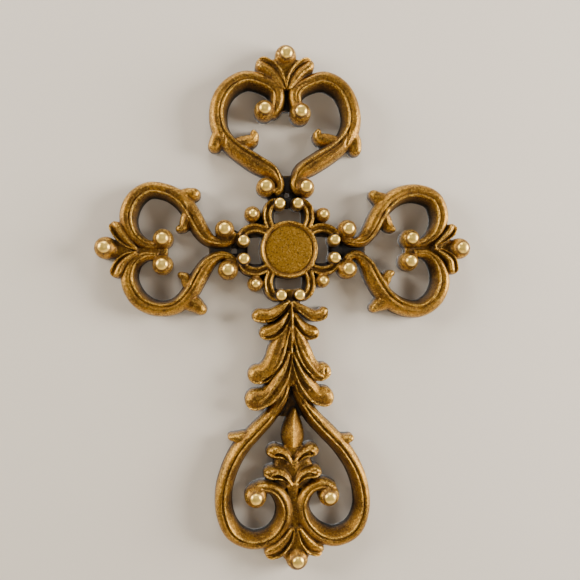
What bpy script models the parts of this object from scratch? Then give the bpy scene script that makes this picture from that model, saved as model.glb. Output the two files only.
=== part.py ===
"""Ornate wall cross, one flat-backed casting of paired scrolls around a round medallion.

The forms are drawn in millimetres on the front, x to the right and z up, from the medallion's centre.
A height is how far a form stands out from the flat back. The finished part is in metres, its front faces
-Y, its back lies in the plane y = 0, and its origin is the notch between the top scrolls that it hangs by.
"""
import math

import bmesh
import bpy
from mathutils import Vector

MM = 0.001
NOTCH = (0.0, 77.5)         # place of the hanging notch
BEHIND = 0.5                # every form runs this far behind the back before the back is cut flat
CUT_SIZE = 400.0            # width and height of the block that cuts the back
CUT_DEPTH = 10.0            # thickness of that block
CUT_LEVEL = -30.0           # level of its middle, which is about the middle of the cross
VOXEL = 0.5                 # grain of the grid that melts the forms into one casting
TRIANGLES = 7600            # triangles kept when the melted casting is thinned out
WELD = 0.00001              # metres within which a turned form's points are joined on its axis

STEPS = 4                   # rings from one point of a route to the next
TIP_ANGLES = (25, 50, 70, 83)  # rings of a rounded tip, in degrees round its quarter circle
TIP_LOW = 0.55              # share of its height that a rounded tip keeps at its very end
BALL_SIDES = 24
MEDALLION_SIDES = 64

# A bar's height grows with its half width, and its inner slope eases from a neck to a full loop.
SCROLL_LOW = 7.6
SCROLL_RISE = 0.68
NECK_WIDTH = 2.6
FULL_WIDTH = 4.4
SPUR_HEIGHT = 9.6
PETAL_HEIGHT = 9.2
LOBE_HEIGHT = 11.0
LEAF_HEIGHT = 12.0
WEB_HEIGHT = 3.8
BALL_HEIGHT = 13.2
SMALL_BALL_HEIGHT = 11.8
STUD_RISE = 0.8             # a stud stands this far above its ball

# Cross sections: place across the form from -1, its outer edge, to 1, and share of its height.
PETAL_SECTION = ((-1, 0), (-0.8, 0.75), (-0.5, 1.0), (0, 0.75), (0.5, 1.0), (0.8, 0.75), (1, 0))
SPUR_SECTION = ((-1, 0), (-0.9, 0.55), (-0.5, 0.84), (0.15, 1.0), (0.6, 0.88), (0.93, 0.5), (1, 0))
FLUTED_SECTION = ((-1, 0), (-0.9, 0.6), (-0.5, 0.98), (0, 0.92), (0.4, 0.76), (0.72, 0.94), (1, 0))
LEAF_SECTION = ((-1, 0), (-0.93, 0.6), (-0.4, 0.8), (0.4, 0.84), (0.72, 1.0), (0.9, 0.6), (1, 0))
WEB_SECTION = ((-1, 0), (-0.75, 0.9), (0.75, 0.9), (1, 0))
BUD_SECTION = ((-1, 0), (-0.85, 0.4), (0, 1.0), (0.85, 0.4), (1, 0))

# Place of the groove across each scroll, from -1 at the outside to 1 at the inside.
GROOVES = {
    "top_left": 0.2, "top_right": 0.2, "left_upper": 0.2, "left_lower": 0.2,
    "right_upper": 0.2, "right_lower": 0.16, "foot_left": -0.06, "foot_right": -0.02,
}
TIER_GROOVE = 0.15

# Turned profiles: share of the radius and share of the height, from the top down the outside.
BALL_PROFILE = ((0, 1.0), (0.45, 0.95), (0.8, 0.8), (0.98, 0.55), (1.0, 0.35), (0.96, 0))
STUD_PROFILE = ((0, 1.0), (0.6, 0.98), (0.9, 0.93), (1.0, 0.8))
MEDALLION_PROFILE = ((0, 8.2), (13.1, 7.9), (14.3, 9), (15.1, 9.5), (15.8, 8.4), (16.1, 5.5), (16.5, 0))

# Scrolls of the hearts: x, z and half width along each bar, from its end at the finial, round the loop.
SCROLLS = {
    "top_left": ((-9.5, 73.6, 1.2), (-6.9, 76.2, 3.4), (-5.3, 81, 4.6), (-5.8, 87.5, 4.9), (-13, 92.4, 4.8),
                 (-23, 94, 5),
                 (-32.5, 88.2, 5.2), (-37.3, 78, 5.2), (-36.2, 66, 5), (-29, 56.6, 5.2), (-18, 49, 5.8),
                 (-9.3, 43.8, 5.1), (-4.9, 38.2, 3), (-4.6, 33.8, 2.5), (-7.6, 31, 2.2)),
    "top_right": ((9.2, 73, 1.2), (7, 75.5, 3.2), (5.6, 81, 4.4), (5.7, 87, 4.7), (12.1, 91.9, 4.5),
                  (21.8, 94.4, 5.2),
                  (31.5, 89, 5.3), (36.4, 78, 5.4), (35.8, 67, 5.6), (29, 57.5, 5.3), (18, 50, 5.8),
                  (8.6, 44.2, 5.1), (4.3, 38.5, 3), (4.2, 34, 2.5), (6.9, 31.2, 2.2)),
    "left_upper": ((-70.5, 2.5, 2.4), (-77.5, 3.8, 3.1), (-84, 9, 4), (-86.7, 18, 4.9), (-83.5, 27.3, 5),
                   (-76, 33.1, 4.5), (-66.5, 32.3, 4.5), (-58.3, 27.5, 5), (-52.8, 19.8, 5),
                   (-48.3, 11.3, 4.9), (-43.5, 5.8, 3.9), (-37, 4.1, 2.7), (-31.8, 5.2, 2.2),
                   (-29.2, 9.3, 1.8)),
    "left_lower": ((-71, -2.6, 2.4), (-78, -2.6, 3), (-84.2, -7, 3.9), (-86.5, -16, 4.8), (-81.5, -26, 4.9),
                   (-72, -30.9, 4.5), (-62, -29.5, 4.6), (-54.5, -22.5, 5), (-49, -13, 5),
                   (-43.5, -5.8, 4.2), (-37, -2.8, 2.7), (-31.2, -5, 2.2), (-28.7, -9.8, 1.8)),
    "right_upper": ((70, 2.2, 2.4), (77, 3.3, 3), (83.7, 8.6, 4.1), (86.7, 17.8, 5), (83.3, 27.5, 5.1),
                    (74, 31.4, 5.2), (64.5, 30.4, 5.2), (56.5, 25.3, 5.3), (51.2, 18.2, 5.4),
                    (47, 10.8, 5), (42, 5, 4), (36.3, 3.7, 2.7), (31.6, 5.6, 2.2), (28.8, 9, 1.9)),
    "right_lower": ((71, -2.6, 2.4), (78.5, -3.3, 3.1), (84.3, -9, 4.3), (86.4, -19, 5.2), (82.4, -28.6, 5.2),
                    (73.4, -34, 5.1), (63, -32.3, 5.3), (54.5, -26, 5.5), (48.3, -16.5, 5.5),
                    (44, -8.3, 4.6), (38, -3.3, 3), (32.6, -5.4, 2.3), (29.8, -9.8, 1.8)),
    "foot_left": ((-1.4, -66, 2.2), (-4.5, -79.5, 3.6), (-11.5, -91, 4.3), (-20, -99.7, 4.8),
                  (-28.3, -108.5, 5.1), (-34.3, -119, 5), (-37.9, -131, 4.9), (-37.8, -143, 4.9),
                  (-33, -153.5, 5), (-23, -158.6, 4.6), (-12.5, -156.3, 4.7), (-6.3, -149, 4.9),
                  (-5.5, -140, 4.8), (-10, -132, 4.5), (-17, -130, 3.7), (-23.5, -131.8, 3.2)),
    "foot_right": ((1.2, -66, 2.2), (4, -79, 3.6), (10.5, -91.3, 4.5), (18.9, -100.8, 4.9),
                   (27.6, -110.5, 4.9), (34.2, -121.5, 4.8), (37.8, -133.3, 4.6), (37.9, -145, 4.6),
                   (33, -155, 5.1), (23, -159.2, 5.1), (13.5, -156.3, 4.9), (6.8, -149, 4.5),
                   (5, -140.5, 4.2), (9, -132.3, 4.2), (16, -129.8, 3.9), (22.5, -132.5, 3.2)),
}

# Short pointed leaves that branch off the bars, each from its root to the centre of its round tip.
SPURS = {
    "top_left_outer": ((-35.5, 66, 3.5), (-37.8, 61.5, 4.5), (-39.6, 57.8, 4)),
    "top_left_inner": ((-29, 58, 3.8), (-24, 59.2, 4.3), (-19.6, 60.4, 3.8), (-17.9, 62.6, 2.8),
                       (-18.3, 64.2, 2.2)),
    "top_right_outer": ((36, 66, 3.5), (37.9, 60.5, 4.5), (38.5, 56.3, 4)),
    "top_right_inner": ((28, 60, 3.6), (23, 60.8, 4.1), (18.7, 61.7, 3.7), (17.1, 63.6, 2.8),
                        (17.5, 65, 2.1)),
    "left_upper_outer": ((-60, 29, 4), (-55, 30.1, 4.6), (-51.8, 30.7, 4)),
    "left_upper_inner": ((-54, 22, 3.5), (-56, 17, 3.4), (-57, 13.2, 3.1), (-59.4, 11.9, 2.3)),
    "left_lower_outer": ((-58, -28, 4), (-53, -28.6, 4.9), (-48.8, -31.8, 3.5)),
    "left_lower_inner": ((-53, -22, 3.5), (-55.8, -17.5, 3.3), (-57, -14.4, 3), (-58.9, -13.2, 2.2)),
    "right_upper_outer": ((58, 27, 4), (52.5, 28, 4.3), (48.9, 30.2, 3.2)),
    "right_upper_inner": ((53, 21, 3.5), (55.2, 16, 3.5), (56.8, 12.4, 3.1), (58.7, 11, 2.2)),
    "right_lower_outer": ((58, -29.5, 4), (52, -30.5, 4.6), (47.6, -33, 3)),
    "right_lower_inner": ((51.5, -22, 3.5), (54.3, -17.5, 3.3), (55.8, -14.8, 3), (57.4, -13.9, 2.2)),
    "foot_left": ((-21, -101, 3), (-28, -102.3, 3.4), (-33.4, -101.7, 2.2)),
    "foot_right": ((23, -106, 3), (28.3, -106, 3.4), (31.9, -105, 2.4)),
}

# Fluted lobes of the four finials, each from its root to the centre of its tip.
LOBES = {
    "top_left": ((-1, 88, 1.5), (-4, 94, 3.9), (-7.4, 98.5, 4.9), (-12.1, 101.7, 4.8)),
    "top_right": ((1, 88, 1.5), (4, 94.4, 3.9), (7.5, 98.9, 4.8), (11.4, 101.8, 4.8)),
    "left_upper": ((-82, 0.8, 0.8), (-87, 4.4, 2.6), (-91, 8.8, 3.6), (-93.2, 12.6, 3.7)),
    "left_lower": ((-82, -0.8, 0.8), (-87.3, -3.4, 2.6), (-91, -7, 3.6), (-92.8, -10.6, 3.8)),
    "right_upper": ((82, 1, 0.8), (87, 4.5, 2.2), (91.5, 8.3, 3.2), (92.8, 10.8, 3)),
    "right_lower": ((82, -0.5, 0.8), (87.5, -3, 2.2), (91.8, -7, 3.2), (92.8, -11.8, 3.4)),
    "bottom_left": ((-1.3, -152, 1.5), (-4.1, -158, 3.7), (-8.6, -162.8, 4.5), (-12.5, -164.3, 4.4)),
    "bottom_right": ((2.2, -152, 1.5), (5.4, -158.4, 3.6), (9.2, -163, 4.3), (12, -164.3, 4.2)),
}

# Lobes of the two tiers under the bud, which carry a bead on their lower side as the scrolls do.
TIERS = {
    "tier_1_left": ((0, -117, 1.5), (-5, -112.3, 3.6), (-10, -111, 4.7)),
    "tier_1_right": ((0, -117, 1.5), (5, -112.5, 3.6), (9.7, -111.2, 4.8)),
    "tier_2_left": ((-0.5, -128.5, 1.5), (-6, -123.7, 3.8), (-11.9, -122.6, 4.6)),
    "tier_2_right": ((0.5, -128.5, 1.5), (5.5, -123.8, 3.8), (11.2, -122.8, 4.6)),
}

# Husk leaves, from the spine to the tip, the upper leaf of each side first.
LEAVES = {
    "left_1": ((-0.5, -28.5, 1.5), (-5, -32.3, 2.8), (-11, -35.8, 3.8), (-17, -36, 4.2)),
    "left_2": ((-1, -35, 2), (-5, -41, 3.6), (-10, -44.8, 4.6), (-13, -45.4, 4.4)),
    "left_3": ((-2, -42, 2.5), (-7, -53, 5), (-10.5, -62, 5), (-15.5, -67.6, 5.3), (-18.5, -68.2, 5.6)),
    "left_4": ((-2, -56, 3), (-6, -69, 5.2), (-12.5, -79, 5.4), (-19.7, -81.8, 6.2)),
    "right_1": ((1, -29, 1.5), (6.5, -33, 2.8), (12.5, -36.5, 3.5), (17, -36.2, 3.6), (18.2, -34.2, 2.6)),
    "right_2": ((1.5, -35.5, 2), (5.5, -42, 3.6), (10, -45.7, 4.4), (11.8, -46, 4.2)),
    "right_3": ((2, -42, 2.5), (6, -53, 4.4), (9.8, -62.5, 4.6), (14.5, -68, 4.8), (16.9, -67.5, 5.2)),
    "right_4": ((2, -56, 3), (6, -69, 4.8), (12, -79, 5.2), (17.6, -81.4, 6)),
}
SPINE = ((0.5, -29, 1.2), (0.8, -40, 2.4), (0.5, -50, 3.2), (0, -60, 3.2), (0, -74, 2.6))
SPINE_HEIGHT = 12.4
BUD = ((1.2, -87.2, 0.8), (0.6, -94, 4.6), (0.3, -102, 6.5), (0.2, -108, 5.4))
BUD_HEIGHT = 12.0
STEM = ((-0.5, -104, 5), (-0.3, -118, 4), (-0.3, -130, 3.6), (0.2, -145, 3), (0.5, -160, 5), (1, -168, 3.5))
STEM_HEIGHT = 8.0

# Large studded balls at the ends of the scrolls and on the finials: x, z and radius.
BALLS = (
    (0.1, 107.2, 6), (-12.3, 76.7, 5.7), (7.6, 75.4, 6), (-12.3, 34.4, 5.3), (9.6, 34, 5.3),
    (-98.5, 1.9, 6.1), (-68.3, 6.4, 5.6), (-68.7, -7.5, 5.6), (-35.2, 11.3, 5.4), (-33.7, -10.8, 5.6),
    (97.4, -0.4, 6), (68.5, 5.3, 5.4), (67.4, -7.4, 5.5), (32.7, 10.9, 5.4), (32.3, -11.2, 5.6),
    (-20.9, -134.2, 6.2), (19.4, -135.7, 5.9), (1.1, -169, 6.2),
)
STUD_RADIUS = 3.1

# Ring of petals round the medallion. One bar runs outward along +x, beside it in +z, over a low ledge.
PETAL = ((12.3, 10.2, 3), (17.8, 12, 3.1), (23, 11, 3.1), (26.1, 8.1, 2.7), (25.4, 5.4, 2.3))
PETAL_BALL = (25.1, 5, 3.8)
PETAL_LEDGE = ((13, 9.8, 2.6), (20, 9.8, 2.6), (24.3, 8.6, 2.6), (25.5, 4.5, 2.6))
PETAL_STUD = 2.8
CORNER_BALLS = ((-19.8, 19.6, 4.6), (19.2, 19.1, 4.2), (-18.9, -18.5, 4.5), (18.3, -17.3, 4.1))
CORNER_STUD = 2.1

# Sunk webs that tie neighbouring forms together low down, between the bars.
WEBS = {
    "top_end": ((0, 77.5, 4), (0, 84, 3.5), (0, 90, 4)),
    "top_waist": ((0, 32, 4.5), (0, 37, 3.5), (0, 41.5, 3.5)),
    "top_gap_left": ((-4.7, 36, 3.2), (-4.7, 27, 3.2)),
    "top_gap_right": ((4.1, 36, 3.2), (4.1, 27, 3.2)),
    "top_hub": ((-6, 26.3, 3.2), (6, 26.3, 3.2)),
    "top_hub_left": ((-12, 34, 3), (-5, 26, 3)),
    "top_hub_right": ((10, 34, 3), (5.5, 26, 3)),
    "left_end": ((-85, 0.5, 2.6), (-66, -0.5, 2.6)),
    "left_waist": ((-44, 0.6, 2.6), (-38, 0.6, 2.6), (-31.6, 0.3, 4)),
    "left_gap_upper": ((-34, 4.6, 3.2), (-26, 4.6, 3.2)),
    "left_gap_lower": ((-34, -4.6, 3.2), (-26, -4.6, 3.2)),
    "left_hub": ((-25.5, -6, 3), (-25.5, 6, 3)),
    "left_hub_upper": ((-35, 11, 3), (-25, 6, 3)),
    "left_hub_lower": ((-34, -11, 3), (-25, -6, 3)),
    "right_end": ((85, 0.3, 2.6), (66, -1, 2.6)),
    "right_waist": ((43.5, 0.3, 2.6), (37, 0.3, 3), (31, 0, 4), (26, 0, 5)),
    "right_hub": ((25.5, -6, 3), (25.5, 6, 3)),
    "right_hub_upper": ((33, 11, 3), (25, 6, 3)),
    "right_hub_lower": ((32, -11, 3), (25, -6, 3)),
    "corner_upper_left": ((-20, 20, 3), (-10, 10, 3)),
    "corner_upper_right": ((19, 19, 3), (10, 10, 3)),
    "corner_lower_left": ((-19, -19, 3), (-10, -10, 3)),
    "corner_lower_right": ((18, -18, 3), (10, -10, 3)),
    "foot_apex": ((0, -70, 3), (0, -84, 5), (0, -92, 7.5)),
}

# Ground between the lobes of a finial, the husk's leaves and the bud's tiers: its height and its route.
FILLS = {
    "top_finial": (7.4, ((0, 105, 9.3), (0, 98, 9.5), (0, 91, 4))),
    "left_finial": (6.6, ((-97, 1.3, 5), (-91, 0.8, 5), (-85, 0.5, 2.5))),
    "right_finial": (6.6, ((96, -0.3, 5), (90, 0, 5), (84, 0.3, 2.5))),
    "bottom_finial": (7.4, ((0.5, -155, 3.5), (0.8, -163, 9), (1, -169, 7.5))),
    "husk_root": (7, ((0, -22, 4), (0, -30, 3), (0, -38, 5))),
    "husk": (10, ((0, -29, 2), (0, -38, 5), (0, -52, 6.5), (0, -64, 6.5), (0, -71, 4), (0, -75, 1))),
    "tiers": (5.4, ((0, -108, 8), (0, -117, 11), (0, -125, 12), (0, -131, 6))),
}


def clear_scene():
    for old in list(bpy.data.objects):
        bpy.data.objects.remove(old, do_unlink=True)


def new_collection(name):
    collection = bpy.data.collections.new(name)
    bpy.context.scene.collection.children.link(collection)
    return collection


def at(x, z, height):
    """A point of the design as a place in the finished part."""
    return Vector(((x - NOTCH[0]) * MM, -height * MM, (z - NOTCH[1]) * MM))


def between(points, share):
    """Value on the smooth curve through four points, at a share of the way from the second to the third."""
    before, start, end, after = points
    square, cube = share * share, share ** 3
    return tuple(
        b + 0.5 * ((c - a) * share + (2 * a - 5 * b + 4 * c - d) * square + (3 * b - a - 3 * c + d) * cube)
        for a, b, c, d in zip(before, start, end, after)
    )


def smooth(route):
    """Closely spaced points on the smooth curve through a route, which keeps the route's own points."""
    first = tuple(2 * a - b for a, b in zip(route[0], route[1]))
    last = tuple(2 * a - b for a, b in zip(route[-1], route[-2]))
    padded = (first,) + tuple(route) + (last,)
    points = [
        between(padded[i:i + 4], step / STEPS)
        for i in range(len(route) - 1)
        for step in range(STEPS)
    ]
    return points + [tuple(route[-1])]


def directions(points):
    """Unit direction of travel at each point."""
    found = []
    for i in range(len(points)):
        ahead = points[min(i + 1, len(points) - 1)]
        behind = points[max(i - 1, 0)]
        found.append(Vector((ahead[0] - behind[0], ahead[1] - behind[1])).normalized())
    return found


def fullness(width):
    """Share of the way from a neck to a full loop, from a bar's half width."""
    return max(0.0, min(1.0, (width - NECK_WIDTH) / (FULL_WIDTH - NECK_WIDTH)))


def scroll_section(groove, full):
    """Broad convex band on the outside, a groove, a raised bead, then a slope to the foot on the inside."""
    middle = groove * full
    return (
        (-1, 0), (-0.93, 0.5), (-0.7, 0.84), (-0.35, 0.97), (middle - 0.12, 0.92),
        (middle, 0.82), (middle + 0.17, 1.0), (0.8 - 0.2 * full, 0.82), (1, 0),
    )


def turns_left(points):
    """Whether the curve turns left on the whole, which puts its hollow side on the left."""
    ways = directions(points)
    return sum(a.x * b.y - a.y * b.x for a, b in zip(ways, ways[1:])) > 0


def add_tip(stations):
    """Rings that close a form with a round tip, beyond its last station."""
    x, z, way, width, height = stations[-1]
    for angle in TIP_ANGLES:
        reach = width * math.sin(math.radians(angle))
        share = math.cos(math.radians(angle))
        level = height * (TIP_LOW + (1 - TIP_LOW) * share)
        stations.append((x + way.x * reach, z + way.y * reach, way, width * share, level))


def loft(name, stations, section, flip, collection):
    """Closed solid through rings that change in width and height apart, which no bevelled curve can do."""
    mesh = bpy.data.meshes.new(name)
    form = bmesh.new()
    rings = []
    for x, z, way, width, height in stations:
        side = Vector((way.y, -way.x)) * (-width if flip else width)
        ring = []
        for across, rise in section(width):
            level = rise * height if rise > 0 else -BEHIND
            ring.append(form.verts.new(at(x + side.x * across, z + side.y * across, level)))
        rings.append(ring)
    count = len(rings[0])
    for ring, after in zip(rings, rings[1:]):
        for i in range(count):
            j = (i + 1) % count
            form.faces.new((ring[i], ring[j], after[j], after[i]))
    form.faces.new(rings[0])
    form.faces.new(rings[-1])
    bmesh.ops.recalc_face_normals(form, faces=form.faces)
    form.to_mesh(mesh)
    form.free()
    piece = bpy.data.objects.new(name, mesh)
    collection.objects.link(piece)
    return piece


def bar(name, route, section, height_of, collection, tip=False, flip=False):
    """Form along a route of x, z and half width, from which its height and its section are worked out."""
    points = smooth(route)
    stations = [
        (x, z, way, width, height_of(width))
        for (x, z, width), way in zip(points, directions(points))
    ]
    if tip:
        add_tip(stations)
    return loft(name, stations, section, flip, collection)


def plain_bar(name, route, section, height, collection):
    """Form along a route of x, z and half width, with one section and one height from end to end."""
    bar(name, route, lambda width: section, lambda width: height, collection)


def turned(name, x, z, profile, sides, collection):
    """Turned form, its axis square to the back, from a profile of radius and height in millimetres."""
    mesh = bpy.data.meshes.new(name)
    points = [(radius * MM, 0, height * MM) for radius, height in profile]
    points.append((profile[-1][0] * MM, 0, -BEHIND * MM))
    points.append((0, 0, -BEHIND * MM))
    mesh.from_pydata(points, [(i, i + 1) for i in range(len(points) - 1)], [])
    piece = bpy.data.objects.new(name, mesh)
    piece.location = at(x, z, 0)
    piece.rotation_euler = (math.radians(90), 0, 0)
    collection.objects.link(piece)
    screw = piece.modifiers.new("turn", "SCREW")
    screw.steps = sides
    screw.render_steps = sides
    screw.use_merge_vertices = True
    screw.merge_threshold = WELD
    weld = piece.modifiers.new("weld", "WELD")
    weld.merge_threshold = WELD
    return piece


def scroll_height(width):
    return SCROLL_LOW + SCROLL_RISE * width


def add_scrolls(collection):
    for name, route in SCROLLS.items():
        flip = turns_left(smooth(route))
        groove = GROOVES[name]
        section = lambda width: scroll_section(groove, fullness(width))
        bar(f"scroll_{name}", route, section, scroll_height, collection, flip=flip)


def add_leaf_forms(kind, routes, section, height, collection, outside=False):
    """Spurs, lobes or leaves. The section's far side lies in the hollow of the curve, or else outside it."""
    for name, route in routes.items():
        flip = turns_left(smooth(route)) != outside
        name = f"{kind}_{name}"
        bar(name, route, lambda width: section, lambda width: height, collection, tip=True, flip=flip)


def studded_ball(name, x, z, radius, height, stud, collection):
    profile = [(radius * out, height * up) for out, up in BALL_PROFILE]
    turned(name, x, z, profile, BALL_SIDES, collection)
    profile = [(stud * out, (height + STUD_RISE) * up) for out, up in STUD_PROFILE]
    turned(f"{name}_stud", x, z, profile, BALL_SIDES, collection)


def add_balls(collection):
    for i, (x, z, radius) in enumerate(BALLS, 1):
        studded_ball(f"ball_{i}", x, z, radius, BALL_HEIGHT, STUD_RADIUS, collection)
    for i, (x, z, radius) in enumerate(CORNER_BALLS, 1):
        studded_ball(f"corner_ball_{i}", x, z, radius, SMALL_BALL_HEIGHT, CORNER_STUD, collection)


def add_petals(collection):
    """Eight hooked bars, two on each side of the medallion, each with a small studded ball."""
    for quarter in range(4):
        c, s = round(math.cos(quarter * math.pi / 2)), round(math.sin(quarter * math.pi / 2))
        for hand in (1, -1):
            route = [(c * x - s * z * hand, s * x + c * z * hand, width) for x, z, width in PETAL]
            name = f"petal_{quarter + 1}_{'left' if hand > 0 else 'right'}"
            plain_bar(name, route, PETAL_SECTION, PETAL_HEIGHT, collection)
            ledge = [(c * x - s * z * hand, s * x + c * z * hand, width) for x, z, width in PETAL_LEDGE]
            plain_bar(f"{name}_ledge", ledge, WEB_SECTION, WEB_HEIGHT, collection)
            x, z, radius = PETAL_BALL
            place = (c * x - s * z * hand, s * x + c * z * hand)
            studded_ball(f"{name}_ball", *place, radius, SMALL_BALL_HEIGHT, PETAL_STUD, collection)


def add_husk_and_bud(collection):
    add_leaf_forms("leaf", LEAVES, LEAF_SECTION, LEAF_HEIGHT, collection, outside=True)
    plain_bar("spine", SPINE, BUD_SECTION, SPINE_HEIGHT, collection)
    plain_bar("bud", BUD, BUD_SECTION, BUD_HEIGHT, collection)
    plain_bar("stem", STEM, WEB_SECTION, STEM_HEIGHT, collection)


def add_webs(collection):
    for name, route in WEBS.items():
        plain_bar(f"web_{name}", route, WEB_SECTION, WEB_HEIGHT, collection)
    for name, (height, route) in FILLS.items():
        plain_bar(f"fill_{name}", route, WEB_SECTION, height, collection)


def back_cutter(collection):
    """Block that cuts the back of the casting flat at y = 0."""
    mesh = bpy.data.meshes.new("back_cutter")
    block = bmesh.new()
    bmesh.ops.create_cube(block, size=1)
    bmesh.ops.scale(block, vec=(CUT_SIZE * MM, CUT_DEPTH * MM, CUT_SIZE * MM), verts=block.verts)
    bmesh.ops.translate(block, vec=(0, CUT_DEPTH * MM / 2, (CUT_LEVEL - NOTCH[1]) * MM), verts=block.verts)
    block.to_mesh(mesh)
    block.free()
    cutter = bpy.data.objects.new("back_cutter", mesh)
    collection.objects.link(cutter)
    return cutter


def melted_together(name, forms, collection):
    """One closed body from all the overlapping forms, remeshed on a fine grid."""
    graph = bpy.context.evaluated_depsgraph_get()
    gathered = bmesh.new()
    for form in forms.objects:
        shape = bpy.data.meshes.new_from_object(form.evaluated_get(graph))
        shape.transform(form.matrix_world)
        gathered.from_mesh(shape)
        bpy.data.meshes.remove(shape)
    mesh = bpy.data.meshes.new(name)
    gathered.to_mesh(mesh)
    gathered.free()
    casting = bpy.data.objects.new(name, mesh)
    collection.objects.link(casting)
    melt = casting.modifiers.new("melt_together", "REMESH")
    melt.mode = "VOXEL"
    melt.voxel_size = VOXEL * MM
    return casting


def cut_back(casting, cutter):
    cut = casting.modifiers.new("flat_back", "BOOLEAN")
    cut.operation = "DIFFERENCE"
    cut.object = cutter
    cut.solver = "EXACT"


def thin_out(casting, triangles):
    """Fewer faces for the same shape, so that the flat parts carry few and the carving the most."""
    graph = bpy.context.evaluated_depsgraph_get()
    dense = casting.evaluated_get(graph).data
    dense.calc_loop_triangles()
    thin = casting.modifiers.new("thin_out", "DECIMATE")
    thin.ratio = triangles / len(dense.loop_triangles)
    thin.use_collapse_triangulate = True


def antique_gold():
    material = bpy.data.materials.new("antique_gold")
    material.use_nodes = True
    surface = material.node_tree.nodes["Principled BSDF"]
    surface.inputs["Base Color"].default_value = (0.30, 0.17, 0.05, 1)
    surface.inputs["Metallic"].default_value = 0.75
    surface.inputs["Roughness"].default_value = 0.45
    return material


def hide_cutters(collection):
    for piece in collection.objects:
        piece.hide_render = True
        piece.display_type = "WIRE"


def main():
    clear_scene()
    finished = new_collection("wall_cross")
    forms = new_collection("cast_forms")
    cutters = new_collection("back_cut")

    add_scrolls(forms)
    add_leaf_forms("spur", SPURS, SPUR_SECTION, SPUR_HEIGHT, forms)
    add_leaf_forms("lobe", LOBES, FLUTED_SECTION, LOBE_HEIGHT, forms, outside=True)
    add_leaf_forms("tier", TIERS, scroll_section(TIER_GROOVE, 1), LOBE_HEIGHT, forms)
    add_husk_and_bud(forms)
    add_petals(forms)
    add_balls(forms)
    add_webs(forms)
    turned("medallion", 0, 0, MEDALLION_PROFILE, MEDALLION_SIDES, forms)

    cross = melted_together("wall_cross", forms, finished)
    thin_out(cross, TRIANGLES)
    cut_back(cross, back_cutter(cutters))
    cross.data.materials.append(antique_gold())
    hide_cutters(forms)
    hide_cutters(cutters)


main()
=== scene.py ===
import math

import bmesh
import bpy
import numpy as np
from mathutils import Matrix, Vector, noise


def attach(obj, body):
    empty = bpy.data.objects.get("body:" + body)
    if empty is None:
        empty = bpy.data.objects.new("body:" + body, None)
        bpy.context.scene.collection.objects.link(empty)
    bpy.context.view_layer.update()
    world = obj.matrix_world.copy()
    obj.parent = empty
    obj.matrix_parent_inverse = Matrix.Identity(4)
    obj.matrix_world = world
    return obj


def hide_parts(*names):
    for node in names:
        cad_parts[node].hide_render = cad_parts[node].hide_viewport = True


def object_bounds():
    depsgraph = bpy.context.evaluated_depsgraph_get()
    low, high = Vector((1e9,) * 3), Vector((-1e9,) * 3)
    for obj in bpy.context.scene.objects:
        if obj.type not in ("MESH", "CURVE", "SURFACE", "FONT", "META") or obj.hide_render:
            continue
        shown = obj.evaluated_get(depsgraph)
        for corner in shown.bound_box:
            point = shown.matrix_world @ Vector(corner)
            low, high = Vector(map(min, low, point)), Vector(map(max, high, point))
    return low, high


# The fine carving and the antique gold finish of the wall cross, with a plain studio for its portrait.
# The forms are drawn in millimetres on the front, x to the right and z up, from the medallion's centre.
# A height is how far a form stands out from the flat back, which lies in the plane y = 0.

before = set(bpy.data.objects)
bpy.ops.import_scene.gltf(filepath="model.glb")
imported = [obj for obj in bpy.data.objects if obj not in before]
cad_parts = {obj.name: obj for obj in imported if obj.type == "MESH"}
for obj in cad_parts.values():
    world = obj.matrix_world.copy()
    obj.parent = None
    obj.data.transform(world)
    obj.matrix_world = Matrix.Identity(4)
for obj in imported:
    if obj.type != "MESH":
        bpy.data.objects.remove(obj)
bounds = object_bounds()

MM = 0.001
NOTCH = (0.0, 77.5)         # place of the hanging notch, which is the origin
BEHIND = 0.8                # every form runs this far behind the back before the back is cut flat
VOXEL = 0.36                # grain of the grid that melts the forms into one casting
TRIANGLES = 196000          # triangles kept when the carved casting is thinned out
STEPS = 9                   # rings from one point of a route to the next
SECTION_STEPS = 3           # points from one point of a cross section to the next
TIP_ANGLES = (15, 30, 45, 58, 70, 80, 86)  # rings of a rounded tip, in degrees round its quarter circle
TIP_LOW = 0.55              # share of its height that a rounded tip keeps at its very end
BALL_SIDES = 48
MEDALLION_SIDES = 128

# A bar's height above the back grows with its half width, and its inner slope eases from a neck to a full
# loop. All heights and widths are in millimetres.
SCROLL_LOW = 7.6
SCROLL_RISE = 0.68
NECK_WIDTH = 2.6
FULL_WIDTH = 4.4
SPUR_HEIGHT = 9.6
PETAL_HEIGHT = 9.2
LOBE_HEIGHT = 11.0
LEAF_HEIGHT = 12.0
WEB_HEIGHT = 3.8
BALL_HEIGHT = 13.2
SMALL_BALL_HEIGHT = 11.8
STUD_RISE = 0.8             # a stud stands this far above its ball

# Cross sections: place across the form from -1, its outer edge, to 1, and share of its height.
PETAL_SECTION = ((-1, 0), (-0.9, 0.45), (-0.74, 0.88), (-0.58, 1.0), (-0.4, 0.95), (0, 0.8), (0.4, 0.95),
                 (0.58, 1.0), (0.74, 0.88), (0.9, 0.45), (1, 0))
FLUTED_SECTION = ((-1, 0), (-0.96, 0.5), (-0.78, 0.88), (-0.45, 1.0), (0, 0.94), (0.3, 0.78), (0.44, 0.74),
                  (0.6, 0.88), (0.74, 0.95), (0.86, 0.82), (1, 0))
LEAF_SECTION = ((-1, 0), (-0.96, 0.48), (-0.84, 0.74), (-0.5, 0.92), (-0.1, 0.97), (0.3, 0.94), (0.52, 0.88),
                (0.64, 0.87), (0.78, 0.97), (0.89, 0.78), (1, 0))
SPUR_SECTION = ((-1, 0), (-0.94, 0.5), (-0.7, 0.85), (-0.2, 0.98), (0.25, 0.95), (0.7, 0.82), (0.94, 0.5),
                (1, 0))
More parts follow.
